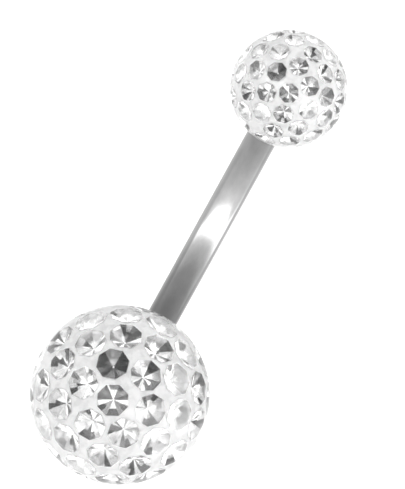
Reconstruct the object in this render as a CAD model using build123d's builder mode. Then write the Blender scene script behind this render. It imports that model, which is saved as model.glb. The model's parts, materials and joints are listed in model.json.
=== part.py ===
from build123d import *
from collections import namedtuple
import math
import os

import numpy as np

# Navel ring: a curved bar with a threaded pin at each end, and two round balls that screw onto it.
# Each ball is a threaded insert in a white core, set all round with small cut stones under a clear coat.
# All sizes are in millimetres. The ring lies on the floor as it would by itself: on both balls and on
# the outer side of the bar's bend. X runs from the large ball to the small one, and Z is up.

# Bar
BAR_RADIUS = 0.8  # 14 gauge
BAR_LENGTH = 11.0  # straight across, from ball to ball
BEND_RADIUS = 11.0  # at the middle of the bar
HALF_BEND = math.asin(BAR_LENGTH / 2 / BEND_RADIUS)

# Screw, with the thread stood in by a plain pin of its pitch diameter
THREAD_PITCH = 0.35
THREAD_TURNS = 8
PIN_RADIUS = 0.685
PIN_LENGTH = THREAD_PITCH * THREAD_TURNS
PIN_TIP = 0.12  # length of the tapered tip
INSERT_RADIUS = 0.95
INSERT_END = 0.3  # metal left beyond the bore
BORE_SPARE = 0.1  # room beyond the pin's tip
GAP = 0.03  # between neighbouring pieces

# Cut of a stone: heights as shares of its girdle radius, slopes in degrees
SIDES = 8
FLAT = math.cos(math.pi / SIDES)  # flat-to-flat radius over corner radius
CROWN_SHARE = 0.27
CROWN_SLOPE = 36
GIRDLE_SHARE = 0.06
PAVILION_SLOPE = 42
TABLE_SHARE = 1 - CROWN_SHARE / math.tan(math.radians(CROWN_SLOPE)) / FLAT
STONE_GAP = 0.105  # the least room between two stones
CORE_RISE = 0.3  # how far the core rises up the crowns, as a share of the crown

# Layout of the stones: how many, how far apart they push each other, where their spiral starts, and how far
# they stay from the bar, in degrees. The first two stones of each ball are set by hand at (along the bar,
# across it), measured from the direction that faces the inside of the bend.
GOLDEN_ANGLE = math.pi * (3 - math.sqrt(5))
SPREAD_STEPS = 500

Ball = namedtuple("Ball", "name side radius coat stones pitch start bar_room by_hand")
BALLS = [
    Ball("large", -1, 4.50, 0.42, 67, 25.00, 225, 28, [(19.2, -15.9), (-4.1, -2.6)]),
    Ball("small", +1, 2.95, 0.34, 64, 25.25, 0, 37, [(9.3, -21.2), (-5.8, 2.7)]),
]


def ball_centre(ball):
    """Centre of a ball in the bend's own plane: along the chord, and towards the inside of the bend."""
    return (
        ball.side * (BEND_RADIUS * math.sin(HALF_BEND) + ball.radius * math.cos(HALF_BEND)),
        BEND_RADIUS * (1 - math.cos(HALF_BEND)) + ball.radius * math.sin(HALF_BEND),
    )


def up_at_rest():
    """Up, in the bend's own axes, with both balls and the outer side of the bend on the floor."""
    (large_x, large_y), (small_x, small_y) = [ball_centre(ball) for ball in BALLS]
    drop = BALLS[0].radius - BALLS[1].radius

    def along(y):
        return ((small_y - large_y) * y + drop) / (large_x - small_x)

    def bar_over_floor(y):
        x = along(y)
        bar_bottom = BEND_RADIUS * (y - math.hypot(x, y)) - BAR_RADIUS
        ball_bottom = small_x * x + small_y * y - BALLS[1].radius
        return bar_bottom - ball_bottom

    low, high = 0.5, 0.99
    for _ in range(60):
        middle = (low + high) / 2
        if bar_over_floor(middle) > 0:
            low = middle
        else:
            high = middle
    x = along(low)
    return Vector(x, low, -math.sqrt(1 - x * x - low * low))


def resting_plane():
    """The bend's plane in the part's frame, whose origin is below the middle of the part's box."""
    up = up_at_rest()
    centres = [Vector(*ball_centre(ball), 0) for ball in BALLS]
    line = centres[1] - centres[0]
    ahead = (line - up * line.dot(up)).normalized()
    left = up.cross(ahead)

    def in_part(vector):
        return Vector(vector.dot(ahead), vector.dot(left), vector.dot(up))

    large, small = [in_part(centre) for centre in centres]
    middle = (large.X - BALLS[0].radius + small.X + BALLS[1].radius) / 2
    origin = Vector(-middle, -large.Y, BALLS[0].radius - large.Z)
    return Plane(origin, x_dir=in_part(Vector(1, 0, 0)), z_dir=in_part(Vector(0, 0, 1)))


BEND = resting_plane()


def point_at(ball, depth):
    """Point on the line of the bar's end, this deep in the ball, in the bend's plane."""
    x, y = ball_centre(ball)
    back = ball.radius - depth
    return x - ball.side * math.cos(HALF_BEND) * back, y - math.sin(HALF_BEND) * back


def seat_depth(ball):
    """Depth in the ball of the bar's shoulder, which seats on the insert inside the coat."""
    return ball.radius - math.sqrt((ball.radius - ball.coat - GAP) ** 2 - INSERT_RADIUS**2) - GAP


def ball_plane(ball, depth):
    """Plane square to the bar's end, this deep in the ball, that faces away from the bar."""
    origin = BEND.from_local_coords(Vector(*point_at(ball, depth)))
    ahead = BEND.from_local_coords(Vector(*point_at(ball, depth + 1)))
    return Plane(origin, x_dir=BEND.z_dir, z_dir=ahead - origin)


def spread_directions(ball):
    """Unit vectors of the stones in the bend's axes: they push apart until they are evenly close."""
    fixed = [(math.tan(math.radians(a)), 1, math.tan(math.radians(b))) for a, b in ball.by_hand]
    free = np.arange(ball.stones - len(fixed)) + 0.5
    height = 1 - 2 * free / len(free)
    ring = np.sqrt(1 - height**2)
    turn = free * GOLDEN_ANGLE + math.radians(ball.start)
    points = np.vstack([fixed, np.column_stack([ring * np.cos(turn), ring * np.sin(turn), height])])
    points /= np.linalg.norm(points, axis=1, keepdims=True)
    bar = np.array([-ball.side * math.cos(HALF_BEND), -math.sin(HALF_BEND), 0])
    apart = 2 * math.sin(math.radians(ball.pitch) / 2)
    from_bar = 2 * math.sin(math.radians(ball.bar_room) / 2)
    itself = np.eye(len(points))
    for _ in range(SPREAD_STEPS):
        away = points[:, None] - points[None]
        distance = np.linalg.norm(away, axis=2) + itself
        push = (away * (np.clip(apart - distance, 0, None) / distance)[..., None]).sum(axis=1) / 2
        off_bar = points - bar
        distance = np.linalg.norm(off_bar, axis=1)
        push += off_bar * (np.clip(from_bar - distance, 0, None) / distance)[:, None]
        points[len(fixed):] += push[len(fixed):]
        points /= np.linalg.norm(points, axis=1, keepdims=True)
    return points


def closest_half_angle(points):
    cosines = points @ points.T - 2 * np.eye(len(points))
    return math.acos(cosines.max()) / 2


def stone_radius(ball, half_angle):
    """Girdle radius that leaves the stone gap between the closest two, with tables just under the coat."""
    tilt = math.sin(half_angle)
    room = (ball.radius - ball.coat - GAP) * tilt - STONE_GAP / 2
    return room / (math.cos(half_angle) + (CROWN_SHARE + GIRDLE_SHARE) * tilt)


def cut_facets(reach, height, slope):
    """Cut the part in work by a ring of planes at this slope, over or under its girdle."""
    tilt = math.radians(slope)
    for side in range(SIDES):
        turn = (side + 0.5) * 2 * math.pi / SIDES
        around, across = math.cos(turn), math.sin(turn)
        outward = math.sin(tilt)
        facet = Plane(
            (reach * around, reach * across, height),
            z_dir=(outward * around, outward * across, math.copysign(math.cos(tilt), height)),
        )
        split(bisect_by=facet, keep=Keep.BOTTOM)


def pointed_prism(radius, top, grow):
    """A prism with a pointed back below its girdle, grown by this much all round."""
    reach = radius * FLAT + grow
    with BuildPart() as prism:
        with BuildSketch(Plane.XY.offset(top)):
            RegularPolygon(reach / FLAT, SIDES)
        extrude(amount=-top - 2 * radius)
        back = math.radians(PAVILION_SLOPE)
        shoulder = radius * GIRDLE_SHARE / 2 + grow * (1 / math.cos(back) - math.tan(back))
        cut_facets(reach, -shoulder, PAVILION_SLOPE)
    return prism.part


def cut_stone(radius):
    """A pointed-back stone with its girdle at the XY plane and its table above."""
    table_height = radius * (CROWN_SHARE + GIRDLE_SHARE / 2)
    with BuildPart() as stone:
        add(pointed_prism(radius, table_height, 0))
        cut_facets(radius * FLAT, radius * GIRDLE_SHARE / 2, CROWN_SLOPE)
    return stone.part


def make_bar():
    with BuildPart() as bar:
        with BuildLine(BEND) as path:
            start, sweep_angle = 270 - math.degrees(HALF_BEND), 2 * math.degrees(HALF_BEND)
            CenterArc((0, BEND_RADIUS), BEND_RADIUS, start, sweep_angle)
            for ball in BALLS:
                Line(point_at(ball, 0), point_at(ball, seat_depth(ball)))
        with BuildSketch(ball_plane(BALLS[0], seat_depth(BALLS[0]))):
            Circle(BAR_RADIUS)
        sweep(path=path.wires()[0])
        for ball in BALLS:
            with BuildSketch(ball_plane(ball, seat_depth(ball))):
                Circle(PIN_RADIUS)
            extrude(amount=PIN_LENGTH - PIN_TIP)
            with BuildSketch(ball_plane(ball, seat_depth(ball) + PIN_LENGTH - PIN_TIP)):
                Circle(PIN_RADIUS)
            extrude(amount=PIN_TIP, taper=45)
    bar.part.label = "bar"
    return bar.part


def make_insert(ball):
    mouth = seat_depth(ball) + GAP
    with BuildPart() as insert:
        with BuildSketch(ball_plane(ball, mouth)):
            Circle(INSERT_RADIUS)
        extrude(amount=PIN_LENGTH + BORE_SPARE + INSERT_END)
        with BuildSketch(ball_plane(ball, mouth)):
            Circle(PIN_RADIUS + GAP)
        extrude(amount=PIN_LENGTH + BORE_SPARE, mode=Mode.SUBTRACT)
    insert.part.label = f"{ball.name}_insert"
    return insert.part


def make_core(ball, radius, seats, cutter):
    bore = seat_depth(ball) + GAP + PIN_LENGTH + BORE_SPARE + INSERT_END + GAP
    with BuildPart(ball_plane(ball, ball.radius)) as core:
        Sphere(radius)
        with BuildSketch(ball_plane(ball, 0)):
            Circle(INSERT_RADIUS + GAP)
        extrude(amount=bore, mode=Mode.SUBTRACT)
    with BuildPart() as cut_core:
        add(core.part)
        with Locations(*seats):
            add(cutter, mode=Mode.SUBTRACT)
    cut_core.part.label = f"{ball.name}_core"
    return cut_core.part


def make_stones(ball, seats, stone):
    with BuildPart() as stones:
        with Locations(*seats):
            add(stone)
    stones.part.label = f"{ball.name}_stones"
    return stones.part


def make_coat(ball):
    with BuildPart(ball_plane(ball, ball.radius)) as coat:
        Sphere(ball.radius)
        Sphere(ball.radius - ball.coat, mode=Mode.SUBTRACT)
        with BuildSketch(ball_plane(ball, -ball.coat)):
            Circle(BAR_RADIUS + GAP)
        extrude(amount=3 * ball.coat, mode=Mode.SUBTRACT)
    coat.part.label = f"{ball.name}_coat"
    return coat.part


def make_ball(ball):
    points = spread_directions(ball)
    radius = stone_radius(ball, closest_half_angle(points))
    table_height = math.sqrt((ball.radius - ball.coat - GAP) ** 2 - (radius * TABLE_SHARE) ** 2)
    girdle_height = table_height - radius * (CROWN_SHARE + GIRDLE_SHARE / 2)
    centre = ball_plane(ball, ball.radius).origin
    seats = []
    for number, point in enumerate(points):
        outward = BEND.from_local_coords(Vector(*point)) - BEND.origin
        seat = Plane(centre + outward * girdle_height, z_dir=outward)
        seats.append(seat.location * Rotation(0, 0, math.degrees(number * GOLDEN_ANGLE)))
    core_radius = girdle_height + radius * CROWN_SHARE * CORE_RISE
    print(f"{ball.name}: stone diameter {2 * radius:.3f}, girdles at {girdle_height:.3f}, core {core_radius:.3f}")
    return [
        make_insert(ball),
        make_core(ball, core_radius, seats, pointed_prism(radius, radius, GAP)),
        make_stones(ball, seats, cut_stone(radius)),
        make_coat(ball),
    ]


pieces = [make_bar()]
for ball in BALLS:
    pieces += make_ball(ball)

os.makedirs("parts", exist_ok=True)
for piece in pieces:
    export_step(piece, f"parts/{piece.label}.step")
    print(piece.label, f"{piece.volume:.3f}", len(piece.solids()))
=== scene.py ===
from collections import namedtuple
import json
import math
import random

import bmesh
import bpy
from mathutils import Matrix, Vector


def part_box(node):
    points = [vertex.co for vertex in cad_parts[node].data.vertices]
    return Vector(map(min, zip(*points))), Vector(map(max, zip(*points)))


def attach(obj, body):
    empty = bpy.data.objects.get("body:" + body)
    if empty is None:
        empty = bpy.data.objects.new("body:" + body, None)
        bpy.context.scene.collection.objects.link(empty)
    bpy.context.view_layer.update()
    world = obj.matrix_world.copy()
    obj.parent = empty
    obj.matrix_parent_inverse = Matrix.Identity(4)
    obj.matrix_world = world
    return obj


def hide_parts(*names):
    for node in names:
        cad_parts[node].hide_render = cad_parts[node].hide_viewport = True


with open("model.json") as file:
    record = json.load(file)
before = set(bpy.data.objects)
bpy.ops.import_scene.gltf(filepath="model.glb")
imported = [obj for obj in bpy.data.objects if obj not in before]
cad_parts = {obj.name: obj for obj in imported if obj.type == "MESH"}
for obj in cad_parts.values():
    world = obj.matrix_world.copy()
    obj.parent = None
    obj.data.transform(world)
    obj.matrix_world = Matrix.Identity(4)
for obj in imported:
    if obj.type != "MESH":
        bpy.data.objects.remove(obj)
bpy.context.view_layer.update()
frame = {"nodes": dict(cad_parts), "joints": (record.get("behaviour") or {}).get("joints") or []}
MM = 0.001

# Places and directions, all from the frame. OUT is the way a ball leaves the bar. ALONG runs from the large
# ball to the small one, INSIDE into the bend and toward the camera, and ASIDE across both.
joints = {joint["name"]: joint for joint in frame["joints"]}
BALLS = ("large", "small")
OUT = {ball: Vector(joints[ball + "_unscrew"]["axis"]).normalized() for ball in BALLS}
CENTRE = {ball: Vector(joints[ball + "_unscrew"]["pos_m"]) for ball in BALLS}
RADIUS = {ball: (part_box(ball + "_coat")[1].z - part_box(ball + "_coat")[0].z) / 2 for ball in BALLS}
ALONG = (OUT["small"] - OUT["large"]).normalized()
INSIDE = (OUT["small"] + OUT["large"]).normalized()
ASIDE = ALONG.cross(INSIDE)
BAR_END = {ball: CENTRE[ball] - OUT[ball] * RADIUS[ball] for ball in BALLS}
HALF_BEND = math.asin(OUT["large"].dot(INSIDE))
BEND_RADIUS = (BAR_END["small"] - BAR_END["large"]).length / 2 / math.sin(HALF_BEND)
BEND_CENTRE = (BAR_END["large"] + BAR_END["small"]) / 2 + INSIDE * BEND_RADIUS * math.cos(HALF_BEND)

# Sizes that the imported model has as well
BAR_RADIUS = 0.8 * MM
GAP = 0.03 * MM
PIN_LENGTH = 2.8 * MM
THREAD_PITCH = 0.35 * MM
SEAT_DEPTH = {"large": 0.533 * MM, "small": 0.521 * MM}
PAVILION_SLOPE = math.radians(42)
SIDES = 8
GIRDLE_SHARE = 0.06

# The bar's thread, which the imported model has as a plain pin. A steepness above 1 leaves the crest flat,
# and the fades are shares of a pitch.
THREAD_ROOT = 0.60 * MM
THREAD_CREST = 0.705 * MM
THREAD_STEEPNESS = 1.3
THREAD_FADE_IN = 0.3
THREAD_FADE_OUT = 0.5
SHOULDER_CHAMFER = 0.04 * MM

# Steps of the meshes, and the edges that are shaded sharp
BAR_AROUND = 96
BEND_STEPS = 96
STEPS_A_TURN = 12
RESIN_AROUND = 128
RESIN_RINGS = 96
SHARP_ANGLE = math.radians(40)
UV_LENGTH = 10 * MM
BUMP_DISTANCE = 0.02 * MM
WELD_DISTANCE = 0.0005 * MM

# Foil cups: how far their two skins lie from a stone, where the tone near the rim gives way to the one near
# the point (share of the cup's radius), and the flat end at the point (share of the stone's radius)
FOIL_GAPS = (0.004 * MM, 0.016 * MM)
FOIL_KNEE = 0.55
FOIL_POINT = 0.05
FOIL_BAND_TONE = 0.95
FOIL_POINT_TONE = 0.98

# The photograph's frame in pixels, at 20.06 pixels to the millimetre, and where it shows the large ball
PHOTO_WIDTH, PHOTO_HEIGHT = 405, 489
PIXELS_PER_METRE = 20.06 / MM
PHOTO_LARGE_BALL = (119.8, 394.9)
PHOTO_ROLL = math.radians(61.13)
PHOTO_RIGHT = ALONG * math.cos(PHOTO_ROLL) + ASIDE * math.sin(PHOTO_ROLL)
PHOTO_UP = ALONG * math.sin(PHOTO_ROLL) - ASIDE * math.cos(PHOTO_ROLL)
CAMERA_DISTANCE = 0.30
SENSOR_WIDTH = 36

# Refraction of the resin in air, and of the stones in the resin that is all round them
RESIN_INDEX = 1.5
STONE_INDEX = 1.1


def new_object(name, vertices, faces, material, body, smooth=True):
    mesh = bpy.data.meshes.new(name)
    mesh.from_pydata([tuple(v) for v in vertices], [], faces)
    shell = bmesh.new()
    shell.from_mesh(mesh)
    bmesh.ops.recalc_face_normals(shell, faces=shell.faces)
    shell.to_mesh(mesh)
    shell.free()
    if smooth:
        mesh.shade_smooth()
    else:
        mesh.shade_flat()
    piece = bpy.data.objects.new(name, mesh)
    bpy.context.scene.collection.objects.link(piece)
    mesh.materials.append(material)
    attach(piece, body)
    return piece


class Nodes:
    """A short way to add and join the nodes of one tree."""

    def __init__(self, tree):
        self.tree = tree
        tree.nodes.clear()

    def add(self, kind, **sockets):
        node = self.tree.nodes.new(kind)
        for name, value in sockets.items():
            self.put(node, name.replace("_", " "), value)
        return node

    def put(self, node, key, value):
        """Give one input, by name or number, a value or the output of another node."""
        socket = node.inputs[key]
        if isinstance(value, bpy.types.NodeSocket):
            self.tree.links.new(value, socket)
        else:
            socket.default_value = value

    def math(self, operation, *values):
        node = self.tree.nodes.new("ShaderNodeMath")
        node.operation = operation
        for index, value in enumerate(values):
            self.put(node, index, value)
        return node.outputs[0]

    def clamped(self, value):
        return self.add("ShaderNodeClamp", Value=value).outputs[0]

    def mixed(self, factor, first, second):
        """Mix two colours. Sockets 0, 6 and 7 are the factor and the two colours of a colour mix."""
        node = self.tree.nodes.new("ShaderNodeMix")
        node.data_type = "RGBA"
        for index, value in ((0, factor), (6, first), (7, second)):
            self.put(node, index, value)
        return node.outputs[2]

    def ramp(self, value, stops):
        node = self.tree.nodes.new("ShaderNodeValToRGB")
        elements = node.color_ramp.elements
        while len(elements) < len(stops):
            elements.new(0.5)
        for element, (place, grey) in zip(elements, stops):
            element.position = place
            element.color = (grey, grey, grey, 1)
        self.put(node, "Fac", value)
        return node.outputs["Color"]


def new_material(name):
    material = bpy.data.materials.new(name)
    material.use_nodes = True
    nodes = Nodes(material.node_tree)
    shader = nodes.add("ShaderNodeBsdfPrincipled")
    nodes.add("ShaderNodeOutputMaterial", Surface=shader.outputs[0])
    return material, nodes, shader


def steel_material():
    """Polished steel with fine lines along the bar."""
    material, nodes, shader = new_material("polished_steel")
    shader.inputs["Metallic"].default_value = 1
    least_rough, rough_spread = 0.07, 0.06
    place = nodes.add("ShaderNodeTexCoord").outputs["UV"]
    stretch = nodes.add("ShaderNodeMapping", Vector=place, Scale=(90, 6, 1)).outputs[0]
    lines = nodes.add("ShaderNodeTexNoise", Vector=stretch, Scale=5.0, Detail=6.0).outputs["Fac"]
    cloud = nodes.add("ShaderNodeTexNoise", Vector=place, Scale=9.0, Detail=3.0).outputs["Fac"]
    nodes.put(shader, "Base Color", nodes.ramp(cloud, [(0.3, 0.30), (0.7, 0.345)]))
    nodes.put(shader, "Roughness", nodes.math("MULTIPLY_ADD", lines, rough_spread, least_rough))
    bump = nodes.add("ShaderNodeBump", Height=lines, Strength=0.04, Distance=BUMP_DISTANCE)
    nodes.put(shader, "Normal", bump.outputs[0])
    return material


def insert_material():
    material, nodes, shader = new_material("insert_steel")
    shader.inputs["Metallic"].default_value = 1
    shader.inputs["Roughness"].default_value = 0.3
    place = nodes.add("ShaderNodeTexCoord").outputs["Object"]
    cloud = nodes.add("ShaderNodeTexNoise", Vector=place, Scale=4000.0, Detail=4.0).outputs["Fac"]
    nodes.put(shader, "Base Color", nodes.ramp(cloud, [(0.3, 0.42), (0.7, 0.55)]))
    return material


def clay_material():
    """White clay with a fine grain and paler and darker spots."""
    material, nodes, shader = new_material("white_clay")
    shader.inputs["Roughness"].default_value = 0.55
    place = nodes.add("ShaderNodeTexCoord").outputs["Object"]
    grain = nodes.add("ShaderNodeTexNoise", Vector=place, Scale=6000.0, Detail=5.0).outputs["Fac"]
    cloud = nodes.add("ShaderNodeTexNoise", Vector=place, Scale=2200.0, Detail=3.0).outputs["Fac"]
    nodes.put(shader, "Base Color", nodes.ramp(cloud, [(0.40, 0.86), (0.54, 0.99)]))
    bump = nodes.add("ShaderNodeBump", Height=grain, Strength=0.2, Distance=BUMP_DISTANCE)
    nodes.put(shader, "Normal", bump.outputs[0])
    return material


def clear_material(name, refraction):
    material, nodes, shader = new_material(name)
    shader.inputs["Base Color"].default_value = (1, 1, 1, 1)
    shader.inputs["Transmission Weight"].default_value = 1
    shader.inputs["Roughness"].default_value = 0
    shader.inputs["IOR"].default_value = refraction
    return material


def foil_material():
    """Silver foil whose colour is the tone on each facet: bright silver, and painted dark reflections on
    some.
    """
    material, nodes, shader = new_material("silver_foil")
    shader.inputs["Metallic"].default_value = 0.85
    shader.inputs["Roughness"].default_value = 0.15
    tone = nodes.add("ShaderNodeAttribute")
    tone.attribute_name = "tone"
    nodes.put(shader, "Base Color", tone.outputs["Color"])
    return material


def thread_radius(distance, handed):
    """The radius all the way round a pin, at this distance from its shoulder."""
    fade_in = distance / (THREAD_FADE_IN * THREAD_PITCH)
    fade_out = (PIN_LENGTH - distance) / (THREAD_FADE_OUT * THREAD_PITCH)
    fade = max(min(1, fade_in, fade_out), 0)

    def radius_at(turn):
        phase = (distance / THREAD_PITCH - handed * turn / (2 * math.pi)) % 1
        ridge = 1 - abs(2 * phase - 1)
        return THREAD_ROOT + (THREAD_CREST - THREAD_ROOT) * min(1, ridge * THREAD_STEEPNESS) * fade

    return radius_at


def pin_rings(ball, handed):
    """Place and radius of the rings from just before the bar's shoulder to the pin's tip."""
    shoulder = BAR_END[ball] + OUT[ball] * SEAT_DEPTH[ball]
    rings = [
        (shoulder - OUT[ball] * SHOULDER_CHAMFER, lambda turn: BAR_RADIUS),
        (shoulder, lambda turn: BAR_RADIUS - SHOULDER_CHAMFER),
    ]
    steps = round(PIN_LENGTH / THREAD_PITCH) * STEPS_A_TURN
    for k in range(steps + 1):
        place = shoulder + OUT[ball] * PIN_LENGTH * k / steps
        rings.append((place, thread_radius(PIN_LENGTH * k / steps, handed)))
    return rings


def bar_rings():
    """Place, way ahead and radius of all rings, from the large ball's pin to the small one's."""
    # All rings run the same way round, so the two pins count it with opposite signs. With these signs both
    # threads wind left-handed, against the record's right-handed screws. Swapped, they wind right-handed.
    rings = [(place, -OUT["large"], radius_at) for place, radius_at in reversed(pin_rings("large", -1))]
    for k in range(BEND_STEPS + 1):
        turn = -HALF_BEND + 2 * HALF_BEND * k / BEND_STEPS
        place = BEND_CENTRE + (ALONG * math.sin(turn) - INSIDE * math.cos(turn)) * BEND_RADIUS
        ahead = ALONG * math.cos(turn) + INSIDE * math.sin(turn)
        rings.append((place, ahead, lambda turn: BAR_RADIUS))
    rings += [(place, OUT["small"], radius_at) for place, radius_at in pin_rings("small", 1)]
    return rings


def make_bar(material):
    """The bent bar with a thread at each end, closed at both tips."""
    vertices, faces, uvs = [], [], []
    length, before = 0, None
    starts = []
    for place, ahead, radius_at in bar_rings():
        if before is not None:
            length += (place - before).length
        before = place
        up = ASIDE.cross(ahead).normalized()
        starts.append(len(vertices))
        for k in range(BAR_AROUND):
            turn = 2 * math.pi * k / BAR_AROUND
            spoke = ASIDE * math.cos(turn) + up * math.sin(turn)
            vertices.append(place + spoke * radius_at(turn))
            uvs.append((k / BAR_AROUND, length / UV_LENGTH))
    for low, high in zip(starts, starts[1:]):
        for k in range(BAR_AROUND):
            after = (k + 1) % BAR_AROUND
            faces.append((low + k, low + after, high + after, high + k))
    faces.append(tuple(reversed(range(starts[0], starts[0] + BAR_AROUND))))
    faces.append(tuple(range(starts[-1], starts[-1] + BAR_AROUND)))
    bar = new_object("bar_shaft", vertices, faces, material, "bar")
    layer = bar.data.uv_layers.new(name="around_and_along")
    for loop in bar.data.loops:
        layer.data[loop.index].uv = uvs[loop.vertex_index]
    bar.data.set_sharp_from_angle(angle=SHARP_ANGLE)
    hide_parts("bar")
    return bar


def make_resin_ball(ball, material):
    """The clear ball, closed at the bottom of the hole that takes the bar's end."""
    hole = BAR_RADIUS + GAP
    mouth = math.asin(hole / RADIUS[ball])
    up = ASIDE.cross(OUT[ball]).normalized()
    floor_depth = SEAT_DEPTH[ball] + GAP / 2
    profile = [(hole, -RADIUS[ball] + floor_depth)]
    for k in range(RESIN_RINGS):
        turn = mouth + (math.pi - mouth) * k / RESIN_RINGS
        profile.append((RADIUS[ball] * math.sin(turn), -RADIUS[ball] * math.cos(turn)))
    vertices, faces = [], []
    for radius, height in profile:
        for k in range(RESIN_AROUND):
            turn = 2 * math.pi * k / RESIN_AROUND
            spoke = ASIDE * math.cos(turn) + up * math.sin(turn)
            vertices.append(CENTRE[ball] + OUT[ball] * height + spoke * radius)
    vertices.append(CENTRE[ball] + OUT[ball] * RADIUS[ball])
    vertices.append(CENTRE[ball] + OUT[ball] * (floor_depth - RADIUS[ball]))
    top, bottom = len(vertices) - 2, len(vertices) - 1
    last = (len(profile) - 1) * RESIN_AROUND
    for low in range(0, last, RESIN_AROUND):
        high = low + RESIN_AROUND
        for k in range(RESIN_AROUND):
            after = (k + 1) % RESIN_AROUND
            faces.append((low + k, low + after, high + after, high + k))
    for k in range(RESIN_AROUND):
        after = (k + 1) % RESIN_AROUND
        faces.append((last + k, last + after, top))
        faces.append((after, k, bottom))
    coat = new_object(ball + "_resin", vertices, faces, material, ball + "_ball")
    coat.data.set_sharp_from_angle(angle=SHARP_ANGLE)
    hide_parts(ball + "_coat")
    return coat


def stone_seats(ball):
    """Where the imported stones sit: girdle centre, outward axis, way to a corner, and girdle radius."""
    bm = bmesh.new()
    bm.from_mesh(frame["nodes"][ball + "_stones"].data)
    bmesh.ops.remove_doubles(bm, verts=bm.verts, dist=WELD_DISTANCE)
    bm.verts.ensure_lookup_table()
    seen, seats = set(), []
    for first in bm.verts:
        if first.index in seen:
            continue
        stack, members = [first], []
        seen.add(first.index)
        while stack:
            vertex = stack.pop()
            members.append(vertex.co.copy())
            for edge in vertex.link_edges:
                other = edge.other_vert(vertex)
                if other.index not in seen:
                    seen.add(other.index)
                    stack.append(other)
        middle = sum(members, Vector()) / len(members)
        outward = (middle - CENTRE[ball]).normalized()
        spans = []
        for co in members:
            height = (co - CENTRE[ball]).dot(outward)
            spoke = co - CENTRE[ball] - outward * height
            spans.append((spoke.length, height, spoke))
        spans.sort(key=lambda span: span[0])
        girdle = spans[-2 * SIDES:]
        height = sum(span[1] for span in girdle) / len(girdle)
        corner = girdle[-1][2].normalized()
        seats.append((CENTRE[ball] + outward * height, outward, corner, girdle[-1][0]))
    bm.free()
    return seats


# Foil of the two stones listed one by one on each ball, which the photograph shows best. Each row is a
# direction in degrees, along the bar and across it, from the inside of the bend; a table of tones; and how
# far the table is turned. A table goes by the way round the stone, in degrees from the right of the
# photograph, with one tone near the foil's point and one near its rim. Its first row that fits counts.
Tone = namedtuple("Tone", "start end point rim")
# Painted reflections: the dark tones in these tables stand in for the dark surroundings that these stones
# reflect, and the bright ones are the foil's own colour.
PAINTED_DARK_REFLECTION = [Tone(45, 135, 0.50, 0.58), Tone(0, 360, 0.14, 0.13)]
PAINTED_STAR_REFLECTION = [
    Tone(-10, 70, 0.12, 0.24), Tone(112, 172, 0.12, 0.13), Tone(200, 228, 0.97, 0.13),
    Tone(255, 292, 0.97, 0.15), Tone(310, 335, 0.90, 0.28), Tone(0, 360, 0.97, 0.97),
]
PAINTED_REFLECTION_STONES = {
    "large": [((19.2, -15.9), PAINTED_DARK_REFLECTION, 0), ((-4.1, -2.6), PAINTED_STAR_REFLECTION, 0)],
    "small": [((9.3, -21.2), PAINTED_DARK_REFLECTION, 29), ((-5.8, 2.7), PAINTED_STAR_REFLECTION, 29)],
}
PAINTED_REFLECTION_REACH = math.radians(6)

# The other stones' foil is bright, with a few darker patches each, at these odds. The dark patches are
# painted reflections, which stand in for the dark surroundings that the stones reflect. A patch is some half
# facets wide, and dark all the way, or only near the point (level 0), or only near the rim (level 1).
# Repeats weigh a choice.
PATCH_COUNTS = (0, 1, 2, 3, 4)
PATCH_ODDS = (2, 13, 28, 33, 24)
PATCH_WIDTHS = (1, 2, 2, 3)
PATCH_LEVELS = ((0, 1), (0, 1), (0,), (1,))
BRIGHT_TONES = (0.90, 1.00)
PAINTED_REFLECTION_TONES = (0.08, 0.34)
FACET_SEED = {"large": 9, "small": 11}


def facing(along_degrees, across_degrees):
    """The direction that leans this far along the bar and across it from the inside of the bend."""
    along, across = math.tan(math.radians(along_degrees)), math.tan(math.radians(across_degrees))
    return (ALONG * along + INSIDE + ASIDE * across).normalized()


def tone_at(table, degrees):
    for row in table:
        if (degrees - row.start) % 360 <= row.end - row.start:
            return row.point, row.rim
    return table[-1].point, table[-1].rim


def facet_tones_and_painted_reflections(ball, outward, spokes, rng):
    """Tones near the point and near the rim for each half facet of one stone's foil, bright with painted
    dark reflections.
    """
    for place, table, turn in PAINTED_REFLECTION_STONES[ball]:
        if facing(*place).dot(outward) > math.cos(PAINTED_REFLECTION_REACH):
            angles = [math.atan2(spoke.dot(PHOTO_UP), spoke.dot(PHOTO_RIGHT)) for spoke in spokes]
            return [tone_at(table, math.degrees(angle) - turn) for angle in angles]
    tones = [[rng.uniform(*BRIGHT_TONES) for _ in range(2)] for _ in spokes]
    # Painted reflections: darker patches on the bright foil stand in for the dark surroundings that the
    # stone reflects.
    for _ in range(rng.choices(PATCH_COUNTS, PATCH_ODDS)[0]):
        first, tone = rng.randrange(len(spokes)), rng.uniform(*PAINTED_REFLECTION_TONES)
        for half in range(first, first + rng.choice(PATCH_WIDTHS)):
            for level in rng.choice(PATCH_LEVELS):
                tones[half % len(spokes)][level] = tone
    return tones


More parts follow.
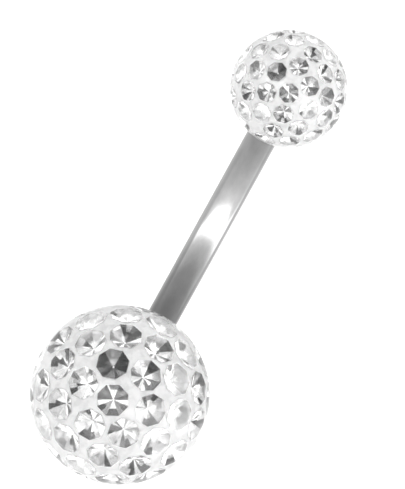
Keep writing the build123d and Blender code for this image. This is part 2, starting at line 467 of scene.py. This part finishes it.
def make_foils(ball, material):
    """A thin silver cup under the back of each stone, with tones for each facet that paint dark reflections
    on some.
    """
    rng = random.Random(FACET_SEED[ball])
    flat = math.cos(math.pi / SIDES)
    halves = 2 * SIDES
    rise = math.tan(PAVILION_SLOPE)
    # how far a skin's shoulder drops for its gap, so that it keeps that gap from the back facets too
    drop = 1 / math.cos(PAVILION_SLOPE) - rise
    vertices, faces, tones = [], [], []
    for place, outward, corner, radius in stone_seats(ball):
        across = outward.cross(corner)
        spokes = []
        for half in range(halves):
            turn = math.pi * half / SIDES
            spokes.append((corner * math.cos(turn) + across * math.sin(turn)) * (flat if half % 2 else 1))
        middles = [spokes[k] + spokes[(k + 1) % halves] for k in range(halves)]
        levels = facet_tones_and_painted_reflections(ball, outward, middles, rng)
        point = FOIL_POINT * radius
        skins = []
        for gap in FOIL_GAPS:
            reach = radius + gap / flat
            shoulder = -radius * GIRDLE_SHARE / 2 - gap * drop
            knee = reach * FOIL_KNEE
            skins.append(len(vertices))
            for across_radius, height in (
                (reach, radius * GIRDLE_SHARE / 4),
                (reach, shoulder),
                (knee, shoulder - (reach - knee) * flat * rise),
                (point, shoulder - (reach - point) * flat * rise),
            ):
                vertices += [place + outward * height + spoke * across_radius for spoke in spokes]
        inner, outer = skins
        for k in range(halves):
            after = (k + 1) % halves
            at_point, at_rim = levels[k]
            for level, tone in enumerate((FOIL_BAND_TONE, at_rim, at_point)):
                low, high = level * halves, (level + 1) * halves
                faces.append((inner + low + k, inner + low + after, inner + high + after, inner + high + k))
                faces.append((outer + low + after, outer + low + k, outer + high + k, outer + high + after))
                tones += [tone, tone]
            faces.append((outer + k, outer + after, inner + after, inner + k))
            tones.append(FOIL_BAND_TONE)
        faces.append([inner + 3 * halves + k for k in range(halves)])
        faces.append([outer + 3 * halves + k for k in reversed(range(halves))])
        tones += [FOIL_POINT_TONE, FOIL_POINT_TONE]
    foils = new_object(ball + "_foils", vertices, faces, material, ball + "_ball", smooth=False)
    # The tone attribute holds the foil's bright tone and the painted dark reflections.
    layer = foils.data.color_attributes.new("tone", "FLOAT_COLOR", "CORNER")
    for polygon, tone in zip(foils.data.polygons, tones):
        for loop in polygon.loop_indices:
            layer.data[loop].color = (tone, tone, tone, 1)
    return foils


def give(node, material):
    """Give a CAD node this material alone."""
    target = frame["nodes"][node]
    target.data.materials.clear()
    target.data.materials.append(material)


# Brightness of the studio round the ring, by how far a direction leans from the large ball's end (-1) to
# the small one's (1): in front, where a soft strip light stands across the bar, and behind
BRIGHTEST = 4.0
FRONT_LIGHT = [
    (-1.0, 0.9), (-0.79, 0.95), (-0.695, 1.04), (-0.53, 1.34), (-0.384, 1.8), (-0.30, 2.3), (-0.255, 4.0),
    (0.05, 4.0), (0.09, 2.3), (0.13, 1.75), (0.184, 1.4), (0.40, 0.76), (0.73, 0.54), (1.0, 0.5),
]
BACK_LIGHT = [(-1.0, 0.9), (-0.24, 1.1), (0.0, 1.4), (0.1, 1.1), (0.18, 0.85), (0.34, 0.62), (1.0, 0.5)]
# Brightness of the soft panels that rays through glass see instead, by the value of a noise
GLASS_LIGHT = [(0.36, 0.68), (0.46, 1.08), (0.55, 1.40), (0.64, 2.1)]
PANEL_SCALE = 2.4
# On the large ball's half the pattern shifts toward the small ball, by BOW times the square of the way aside
# from BOW_MIDDLE, and by BOW times a high power of the way aside from 0, which tells only at the very sides
BOW = 0.13
BOW_MIDDLE = 0.2
BOW_SIDE_POWER = 8.0
# The back takes over behind a plane that leans aside by BACK_LEAN, from BACK_START on over BACK_FADE
BACK_LEAN = 0.22
BACK_START = -0.02
BACK_FADE = 0.2


def light_stops(levels):
    return [((reach + 1) / 2, level / BRIGHTEST) for reach, level in levels]


def make_world():
    """Soft light all round, brightest in a strip across the bar behind the camera."""
    world = bpy.data.worlds.new("studio")
    bpy.context.scene.world = world
    world.use_nodes = True
    nodes = Nodes(world.node_tree)
    way = nodes.add("ShaderNodeTexCoord").outputs["Generated"]

    def lean(direction):
        node = nodes.tree.nodes.new("ShaderNodeVectorMath")
        node.operation = "DOT_PRODUCT"
        nodes.put(node, 0, way)
        nodes.put(node, 1, direction)
        return node.outputs["Value"]

    def ramp_place(value):
        return nodes.math("MULTIPLY_ADD", value, 0.5, 0.5)

    toward_end, to_side, to_front = lean(ALONG), lean(ASIDE), lean(INSIDE)
    off_middle = nodes.math("SUBTRACT", to_side, BOW_MIDDLE)
    bow = nodes.math("MULTIPLY", nodes.math("MULTIPLY", off_middle, off_middle), BOW)
    at_sides = nodes.math("POWER", nodes.math("ABSOLUTE", to_side), BOW_SIDE_POWER)
    bow = nodes.math("MULTIPLY_ADD", at_sides, BOW, bow)
    bow = nodes.math("MULTIPLY", bow, nodes.math("LESS_THAN", toward_end, 0.0))
    front = nodes.ramp(ramp_place(nodes.math("SUBTRACT", toward_end, bow)), light_stops(FRONT_LIGHT))
    back = nodes.ramp(ramp_place(toward_end), light_stops(BACK_LIGHT))
    ahead = nodes.math("MULTIPLY_ADD", to_side, BACK_LEAN, to_front)
    behind = nodes.math("MULTIPLY_ADD", ahead, -1 / BACK_FADE, BACK_START / BACK_FADE)
    light = nodes.mixed(nodes.clamped(behind), front, back)
    panels = nodes.add("ShaderNodeTexNoise", Vector=way, Scale=PANEL_SCALE, Detail=1.0).outputs["Fac"]
    inside_glass = nodes.ramp(panels, [(noise, level / BRIGHTEST) for noise, level in GLASS_LIGHT])
    through_glass = nodes.add("ShaderNodeLightPath").outputs["Is Transmission Ray"]
    light = nodes.mixed(through_glass, light, inside_glass)
    background = nodes.add("ShaderNodeBackground", Color=light, Strength=BRIGHTEST)
    nodes.add("ShaderNodeOutputWorld", Surface=background.outputs[0])


def make_floor():
    """A pale floor that gives off some light of its own to stay white, and isn't seen in reflections."""
    material, nodes, shader = new_material("pale_floor")
    shader.inputs["Base Color"].default_value = (0.93, 0.93, 0.93, 1)
    shader.inputs["Roughness"].default_value = 0.9
    shader.inputs["Emission Color"].default_value = (1, 1, 1, 1)
    shader.inputs["Emission Strength"].default_value = 0.5
    half = 1.5
    corners = [(-half, -half, 0), (half, -half, 0), (half, half, 0), (-half, half, 0)]
    mesh = bpy.data.meshes.new("floor")
    mesh.from_pydata(corners, [], [(0, 1, 2, 3)])
    mesh.materials.append(material)
    floor = bpy.data.objects.new("floor", mesh)
    bpy.context.scene.collection.objects.link(floor)
    floor.visible_glossy = False


def make_camera():
    """A camera that looks along the bend's plane, with the large ball where the photograph has it."""
    x, y = PHOTO_LARGE_BALL
    target = CENTRE["large"] + PHOTO_RIGHT * ((PHOTO_WIDTH / 2 - x) / PIXELS_PER_METRE)
    target += PHOTO_UP * ((y - PHOTO_HEIGHT / 2) / PIXELS_PER_METRE)
    data = bpy.data.cameras.new("camera")
    camera = bpy.data.objects.new("camera", data)
    bpy.context.scene.collection.objects.link(camera)
    bpy.context.scene.camera = camera
    turn = Matrix((PHOTO_RIGHT, PHOTO_UP, INSIDE)).transposed().to_4x4()
    camera.matrix_world = Matrix.Translation(target + INSIDE * CAMERA_DISTANCE) @ turn
    data.sensor_fit = "AUTO"
    data.sensor_width = SENSOR_WIDTH
    data.lens = SENSOR_WIDTH * CAMERA_DISTANCE / (PHOTO_HEIGHT / PIXELS_PER_METRE)
    data.clip_start = 0.01
    data.clip_end = 10


make_camera()
make_world()
make_floor()
steel = steel_material()
resin = clear_material("clear_resin", RESIN_INDEX)
crystal = clear_material("clear_crystal", STONE_INDEX)
foil = foil_material()
clay = clay_material()
insert_steel = insert_material()
make_bar(steel)
for ball in BALLS:
    make_resin_ball(ball, resin)
    make_foils(ball, foil)
    give(ball + "_stones", crystal)
    give(ball + "_core", clay)
    give(ball + "_insert", insert_steel)

scene = bpy.context.scene
scene.view_settings.view_transform = "Standard"
scene.cycles.max_bounces = 24
scene.cycles.transmission_bounces = 24
scene.cycles.glossy_bounces = 16
scene.cycles.diffuse_bounces = 6
